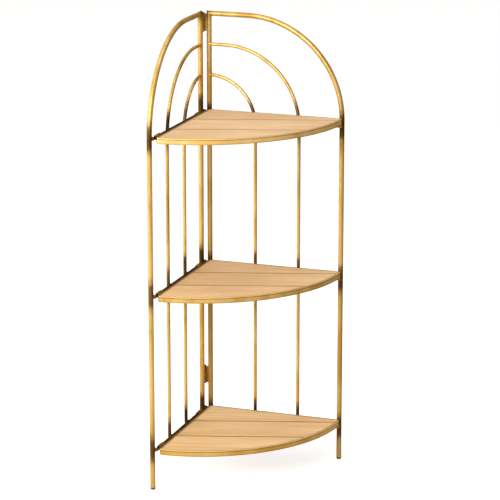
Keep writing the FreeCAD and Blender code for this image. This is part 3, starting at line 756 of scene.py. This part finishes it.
def joinPieces(pieces, name, body, finish):
    selectOnly(pieces[0])
    for piece in pieces:
        piece.select_set(True)
    bpy.ops.object.join()
    joined = bpy.context.object
    joined.name = name
    joined.data.name = name
    joined.data.materials.clear()
    joined.data.materials.append(finish)
    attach(joined, body)
    return joined


weldBead = {
    "length": 0.0078,
    "radius": 0.00155,
    "tuck": 0.55,           # how deep it lies in the joint, in its own radii
    "lift": 0.20,           # how far its middle is from the tube's or rod's inner face, in tucks
    "rodStretch": 0.85,     # the beads along a rod or a hinge are shorter
    "hingeStretch": 0.95,
    "hingeBeads": 5,        # down each side of a leaf
    "hingeRun": 0.0006,     # their place past the post's near side
    "hingeDepth": 0.0023,   # and from the leaf's middle, to either side
    "ripple": 0.00050,      # how far the ripples stand out
    "rippleSize": 0.0011,
    "rippleWander": 3.0,
    "segments": 14,
    "rings": 20,
}


# one bead, standing along Z round the origin, with the ripples of a slow weld
def modelBead():
    look = weldBead
    bpy.ops.object.select_all(action="DESELECT")
    bpy.ops.mesh.primitive_uv_sphere_add(segments=look["segments"], ring_count=look["rings"], radius=1,
                                         location=(0, 0, 0))
    bead = bpy.context.object
    bead.name = "beadModel"
    bpy.ops.object.mode_set(mode="EDIT")
    bpy.ops.mesh.select_all(action="SELECT")
    bpy.ops.transform.resize(value=(look["radius"], look["radius"], look["length"] / 2))
    bpy.ops.object.mode_set(mode="OBJECT")
    ripples = bpy.data.textures.new("weldRipples", "WOOD")
    ripples.wood_type = "BANDNOISE"
    ripples.noise_scale = look["rippleSize"]
    ripples.turbulence = look["rippleWander"]
    stand = bead.modifiers.new("ripples", "DISPLACE")
    stand.texture = ripples
    stand.strength = look["ripple"]
    stand.mid_level = 0.5
    selectOnly(bead)
    bpy.ops.object.modifier_apply(modifier="ripples")
    bpy.ops.object.shade_smooth()
    return bead


weldRing = {
    "radius": 0.0011,       # of the weld itself, round the end of a rod's arch
    "lift": 0.30,           # how far its middle lies off the rod, in its own radii
    "sunk": 0.0002,         # how deep its middle lies in the post
    "groundProud": 0.0001,  # what it stands proud once ground, where a raised shelf passes it
    "seamRadius": 0.00045,
    "seamSunk": 0.00030,    # how deep the dressed seam of the mitre lies in the tube
    "uneven": 0.28,         # in its own radii
    "segments": 40,
    "sides": 8,
}


# a weld round the origin, made longer along Y where it runs round a mitre
def modelRing(name, radius, thickness, longer=1.0):
    look = weldRing
    bpy.ops.object.select_all(action="DESELECT")
    bpy.ops.mesh.primitive_torus_add(major_radius=radius, minor_radius=thickness, location=(0, 0, 0),
                                     major_segments=look["segments"], minor_segments=look["sides"])
    ring = bpy.context.object
    ring.name = name
    bpy.ops.object.mode_set(mode="EDIT")
    bpy.ops.mesh.select_all(action="SELECT")
    bpy.ops.transform.resize(value=(1, longer, 1))
    bpy.ops.transform.vertex_random(offset=thickness * look["uneven"], uniform=0.0, normal=1.0, seed=3)
    bpy.ops.object.mode_set(mode="OBJECT")
    bpy.ops.object.shade_smooth()
    return ring


# what lies past a plane is cut away, and the cut is closed
def grindFlat(piece, place, outward):
    selectOnly(piece)
    bpy.ops.object.mode_set(mode="EDIT")
    bpy.ops.mesh.select_all(action="SELECT")
    bpy.ops.mesh.bisect(plane_co=place, plane_no=outward, use_fill=True, clear_outer=True)
    bpy.ops.object.mode_set(mode="OBJECT")


# a point of a panel from its run along the panel, its depth into the stand and its height
def panelPoint(side, run, depth, height):
    if side == "left":
        return Vector((corner.x + depth, corner.y - run, height))
    return Vector((corner.x + run, corner.y - depth, height))


# the least and greatest run, depth and height of a node
def panelBox(side, node):
    low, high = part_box(node)
    if side == "left":
        return corner.y - high.y, corner.y - low.y, low.x - corner.x, high.x - corner.x, low.z, high.z
    return low.x - corner.x, high.x - corner.x, corner.y - high.y, corner.y - low.y, low.z, high.z


# one unit along a panel, and one into the stand
def panelWays(side):
    along = panelPoint(side, 1, 0, 0) - panelPoint(side, 0, 0, 0)
    inward = panelPoint(side, 0, 1, 0) - panelPoint(side, 0, 0, 0)
    return along, inward


# a rail has a bead above and below on the post and the leg, and one on each side of both rods
def weldRail(side, rail, bead):
    along = panelWays(side)[0]
    tuck = weldBead["radius"] * weldBead["tuck"]
    lift = tuck * weldBead["lift"]
    railLow, railHigh = panelBox(side, rail)[4:]
    railHeight = (railLow + railHigh) / 2
    railRadius = (railHigh - railLow) / 2
    postNear, postFar, _, tubeIn, _, _ = panelBox(side, f"{side}_rear_post")
    legMiddle = panelBox(side, f"{side}_outer_tube")[1] - (postFar - postNear) / 2
    beads = []
    for run in ((postNear + postFar) / 2, legMiddle):
        for way in (-1, 1):
            height = railHeight + way * (railRadius - tuck)
            beads.append(placeCopy(bead, panelPoint(side, run, tubeIn + lift, height), along))
    for rod in (f"{side}_front_rod", f"{side}_rear_rod"):
        _, rodFar, rodOut, rodIn, _, _ = panelBox(side, rod)
        rodRadius = (rodIn - rodOut) / 2
        for way in (-1, 1):
            run = rodFar - rodRadius + way * (rodRadius - tuck)
            place = panelPoint(side, run, rodIn - lift, railHeight)
            beads.append(placeCopy(bead, place, up, weldBead["rodStretch"]))
    return beads


# on the post, the rods' arches end in a weld ring each, and the tube's arch in a dressed mitre
def weldArches(side, rodRing, tubeRing):
    along, inward = panelWays(side)
    postNear, postFar, tubeOut, tubeIn, _, postTop = panelBox(side, f"{side}_rear_post")
    rings = []
    for rod in (f"{side}_front_rod", f"{side}_rear_rod"):
        _, _, rodOut, rodIn, _, rodTop = panelBox(side, rod)
        height = rodTop - (rodIn - rodOut) / 2
        place = panelPoint(side, postFar - weldRing["sunk"], (rodOut + rodIn) / 2, height)
        ring = placeCopy(rodRing, place, along)
        grindFlat(ring, panelPoint(side, 0, rodIn + weldRing["groundProud"], 0), inward)
        rings.append(ring)
    tubeRadius = (postFar - postNear) / 2
    mitre = panelPoint(side, (postNear + postFar) / 2, (tubeOut + tubeIn) / 2, postTop - tubeRadius)
    rings.append(placeCopy(tubeRing, mitre, along + up))
    return rings


# a row of beads down both sides of a hinge leaf
def weldHinge(side, position, bead):
    look = weldBead
    run = panelBox(side, f"{side}_rear_post")[0] + look["hingeRun"]
    leafLow, leafHigh = panelBox(side, f"{position}_hinge_{side}_leaf")[4:]
    step = (leafHigh - leafLow) / look["hingeBeads"]
    beads = []
    for way in (-1, 1):
        for index in range(look["hingeBeads"]):
            place = panelPoint(side, run, way * look["hingeDepth"], leafLow + step * (index + 0.5))
            beads.append(placeCopy(bead, place, up, look["hingeStretch"]))
    return beads


def makeWelds():
    look = weldRing
    tubeRadius = (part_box("left_rear_post")[1].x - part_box("left_rear_post")[0].x) / 2
    rodRadius = (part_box("left_front_rod")[1].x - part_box("left_front_rod")[0].x) / 2
    bead = modelBead()
    rodRing = modelRing("rodRingModel", rodRadius + look["radius"] * look["lift"], look["radius"])
    tubeRing = modelRing("tubeRingModel", tubeRadius - look["seamSunk"], look["seamRadius"], math.sqrt(2))
    for side in sides:
        welds = []
        for level in levels:
            welds += weldRail(side, f"{side}_{level}_rail", bead)
        welds += weldArches(side, rodRing, tubeRing)
        for position in ("lower", "upper"):
            welds += weldHinge(side, position, bead)
        joinPieces(welds, f"{side}_panel_welds", f"{side}_panel", finishes[f"{side} tube"])
    for model in (bead, rodRing, tubeRing):
        bpy.data.objects.remove(model, do_unlink=True)


makeWelds()
print("weld beads made")


screwLook = {
    "headRadius": 0.0035,
    "shankRadius": 0.0015,
    "crossLength": 0.0040,
    "crossWidth": 0.0009,
    "crossDepth": 0.0009,
    "rimRound": 0.0005,
    "rimSteps": 3,
    "sides": 32,
    "smoothUnder": 35,      # degrees, edges flatter than this are shaded smooth
    "oneScrew": 0.012,      # points nearer than this belong to the same screw
}


# the middles of one shelf's screws, found as the loose lumps of the node's own mesh
def screwPlaces(node):
    reach = screwLook["oneScrew"]
    lumps = []
    for vertex in nodes[node].data.vertices:
        for lump in lumps:
            if abs(vertex.co.x - lump[0].x) < reach and abs(vertex.co.y - lump[0].y) < reach:
                lump.append(vertex.co.copy())
                break
        else:
            lumps.append([vertex.co.copy()])
    places = []
    for lump in lumps:
        acrossX = [point.x for point in lump]
        acrossY = [point.y for point in lump]
        places.append(((min(acrossX) + max(acrossX)) / 2, (min(acrossY) + max(acrossY)) / 2))
    return places


# a pan head looking down, with a cross recess, under a short plain shank; its top is at the origin
def modelScrew(headHeight, shankLength):
    look = screwLook
    bpy.ops.object.select_all(action="DESELECT")
    bpy.ops.mesh.primitive_cylinder_add(vertices=look["sides"], radius=look["shankRadius"],
                                        depth=shankLength, location=(0, 0, -shankLength / 2))
    screw = bpy.context.object
    screw.name = "screwModel"
    bpy.ops.object.mode_set(mode="EDIT")
    bpy.ops.mesh.select_all(action="DESELECT")
    mesh = bmesh.from_edit_mesh(screw.data)
    for face in mesh.faces:
        face.select_set(face.normal.z < -0.9)       # the lower end
    bmesh.update_edit_mesh(screw.data)
    # the end grows out into the head, and the head goes down
    wider = look["headRadius"] / look["shankRadius"]
    bpy.ops.mesh.extrude_region_move(TRANSFORM_OT_translate={"value": (0, 0, 0)})
    bpy.ops.transform.resize(value=(wider, wider, 1))
    bpy.ops.mesh.extrude_region_move(TRANSFORM_OT_translate={"value": (0, 0, -headHeight)})
    bpy.ops.mesh.bevel(offset=look["rimRound"], segments=look["rimSteps"], affect="EDGES")
    bpy.ops.object.mode_set(mode="OBJECT")
    cutters = []
    for turn in (0, math.pi / 2):
        bpy.ops.mesh.primitive_cube_add(size=1, location=(0, 0, -shankLength - headHeight))
        cutter = bpy.context.object
        cutter.scale = (look["crossLength"], look["crossWidth"], look["crossDepth"] * 2)
        cutter.rotation_euler = (0, 0, turn)
        cutters.append(cutter)
    for cutter in cutters:
        cut = screw.modifiers.new("cross", "BOOLEAN")
        cut.operation = "DIFFERENCE"
        cut.object = cutter
        selectOnly(screw)
        bpy.ops.object.modifier_apply(modifier="cross")
    for cutter in cutters:
        bpy.data.objects.remove(cutter, do_unlink=True)
    selectOnly(screw)
    bpy.ops.object.shade_smooth_by_angle(angle=math.radians(look["smoothUnder"]))
    return screw


def makeScrews():
    low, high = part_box("bottom_shelf_screws")
    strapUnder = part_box("bottom_shelf_straps")[0].z
    screw = modelScrew(strapUnder - low.z, high.z - strapUnder)
    for level in levels:
        node = f"{level}_shelf_screws"
        name = f"{level}_shelf_screw_set"
        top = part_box(node)[1].z
        copies = [placeCopy(screw, Vector((x, y, top)), up) for x, y in screwPlaces(node)]
        joined = joinPieces(copies, name, f"{level}_shelf", finishes["screw"])
        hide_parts(node)
    bpy.data.objects.remove(screw, do_unlink=True)


makeScrews()
print("screws made")
